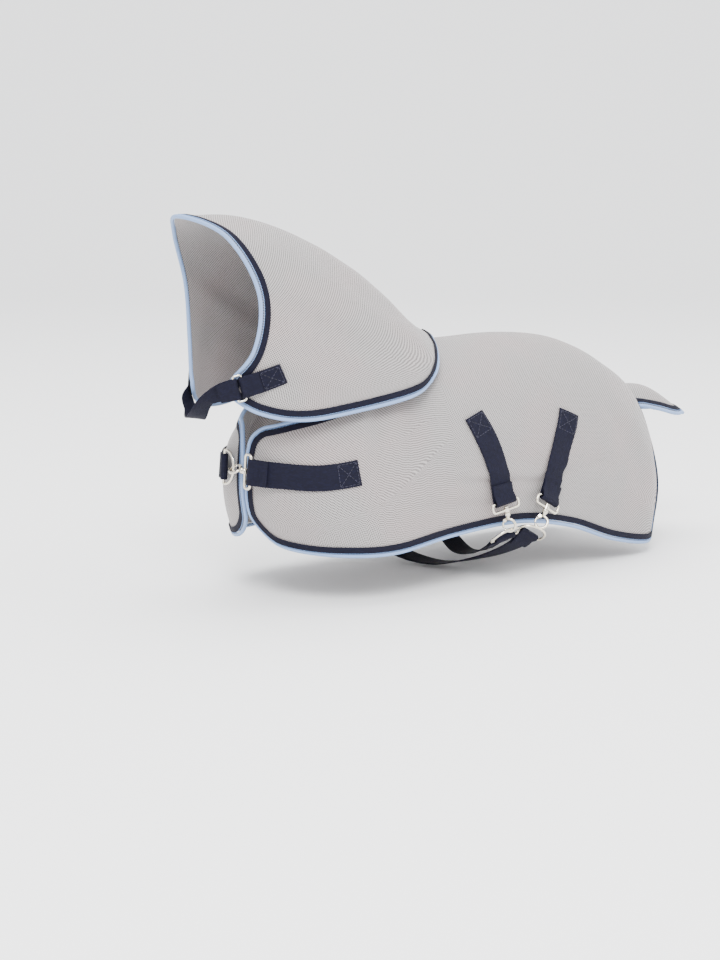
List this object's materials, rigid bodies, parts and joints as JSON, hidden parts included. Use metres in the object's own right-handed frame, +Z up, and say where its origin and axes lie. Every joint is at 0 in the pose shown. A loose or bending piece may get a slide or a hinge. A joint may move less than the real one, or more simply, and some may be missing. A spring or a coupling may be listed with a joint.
{
  "type": "fly sheet for a toy pony",
  "caption": "Draped mesh sheet with attached neck cover and tail flap, bound edges, webbing chest and belly straps, throat strap and swivel snaps on rings.",
  "frame": {"origin": "middle of the underside of the spine seam tape, where the sheet rests on the middle of the back", "axes": "-X towards the head, +X towards the tail, -Y the pony's left side, +Z up"},
  "size_m": [0.5295, 0.1963, 0.2954],
  "materials": {
    "mesh_fabric": "airtex knit polyester mesh, matt",
    "navy_tape": "ribbed woven tape, matt",
    "blue_cord": "braided cord, matt",
    "navy_webbing": "woven polyester webbing, matt",
    "nickel": "polished nickel plate on steel"
  },
  "bodies": {
    "body_sheet": {"left_body_panel": "mesh_fabric", "right_body_panel": "mesh_fabric", "spine_seam_tape": "navy_tape", "body_binding_tape": "navy_tape", "body_piping": "blue_cord", "left_chest_strap": "navy_webbing", "right_chest_strap": "navy_webbing", "left_front_tab": "navy_webbing", "left_rear_tab": "navy_webbing", "right_front_surcingle": "navy_webbing", "right_rear_surcingle": "navy_webbing", "chest_snap_eye": "nickel", "front_belly_snap_eye": "nickel", "rear_belly_snap_eye": "nickel"},
    "neck_cover": {"left_neck_panel": "mesh_fabric", "right_neck_panel": "mesh_fabric", "ridge_seam_tape": "navy_tape", "neck_binding_tape": "navy_tape", "neck_piping": "blue_cord", "throat_tab": "navy_webbing", "throat_ring": "nickel", "throat_strap": "navy_webbing"},
    "tail_flap": {"tail_flap": "mesh_fabric", "flap_binding_tape": "navy_tape", "flap_piping": "blue_cord"},
    "chest_hook": {"chest_snap_hook": "nickel", "chest_gate_pin": "nickel"},
    "chest_gate": {"chest_snap_gate": "nickel"},
    "chest_ring": {"chest_ring": "nickel"},
    "front_belly_hook": {"front_belly_snap_hook": "nickel", "front_belly_gate_pin": "nickel"},
    "front_belly_gate": {"front_belly_snap_gate": "nickel"},
    "front_belly_ring": {"front_belly_ring": "nickel"},
    "rear_belly_hook": {"rear_belly_snap_hook": "nickel", "rear_belly_gate_pin": "nickel"},
    "rear_belly_gate": {"rear_belly_snap_gate": "nickel"},
    "rear_belly_ring": {"rear_belly_ring": "nickel"}
  },
  "joints": [
    {"name": "neck_cover_tilt", "type": "hinge", "parent": "body_sheet", "child": "neck_cover", "pos_m": [-0.058, 0, 0.0105], "axis": [0, 1, 0], "range_deg": [0, 25]},
    {"name": "tail_flap_lift", "type": "hinge", "parent": "body_sheet", "child": "tail_flap", "pos_m": [0.1585, 0, -0.05413], "axis": [0, -1, 0], "range_deg": [0, 60]},
    {"name": "chest_hook_swivel", "type": "hinge", "parent": "body_sheet", "child": "chest_hook", "pos_m": [-0.24494, -0.01722, -0.08551], "axis": [0, 1, 0], "range_deg": [-10, 10]},
    {"name": "chest_gate_pivot", "type": "hinge", "parent": "chest_hook", "child": "chest_gate", "pos_m": [-0.24278, -0.00204, -0.08426], "axis": [-0.5008, 0, 0.8655], "range_deg": [0, 16], "stiffness_Nm_per_rad": 0.002, "springref_deg": -2.86},
    {"name": "chest_ring_pivot", "type": "hinge", "parent": "body_sheet", "child": "chest_ring", "pos_m": [-0.24494, 0.01722, -0.08551], "axis": [0.0688, 0, 0.9976], "range_deg": [-2, 2]},
    {"name": "front_belly_hook_swivel", "type": "hinge", "parent": "body_sheet", "child": "front_belly_hook", "pos_m": [-0.0543, -0.09513, -0.11878], "axis": [0.1594, -0.0859, -0.9835], "range_deg": [-12, 20]},
    {"name": "front_belly_gate_pivot", "type": "hinge", "parent": "front_belly_hook", "child": "front_belly_gate", "pos_m": [-0.05313, -0.0943, -0.13409], "axis": [-0.8502, -0.5182, -0.0925], "range_deg": [0, 12], "stiffness_Nm_per_rad": 0.002, "springref_deg": -2.86},
    {"name": "front_belly_ring_pivot", "type": "hinge", "parent": "body_sheet", "child": "front_belly_ring", "pos_m": [-0.0489, -0.08849, -0.14936], "axis": [-0.9854, 0.0462, -0.1638], "range_deg": [0, 4]},
    {"name": "rear_belly_hook_swivel", "type": "hinge", "parent": "body_sheet", "child": "rear_belly_hook", "pos_m": [-0.00734, -0.09572, -0.12277], "axis": [-0.5014, -0.088, -0.8607], "range_deg": [-12, 20]},
    {"name": "rear_belly_gate_pivot", "type": "hinge", "parent": "rear_belly_hook", "child": "rear_belly_gate", "pos_m": [-0.01631, -0.09504, -0.13524], "axis": [-0.6735, -0.5848, 0.4521], "range_deg": [0, 12], "stiffness_Nm_per_rad": 0.002, "springref_deg": -2.86},
    {"name": "rear_belly_ring_pivot", "type": "hinge", "parent": "body_sheet", "child": "rear_belly_ring", "pos_m": [-0.02325, -0.08914, -0.14945], "axis": [-0.8621, -0.0339, 0.5056], "range_deg": [0, 4]}
  ]
}
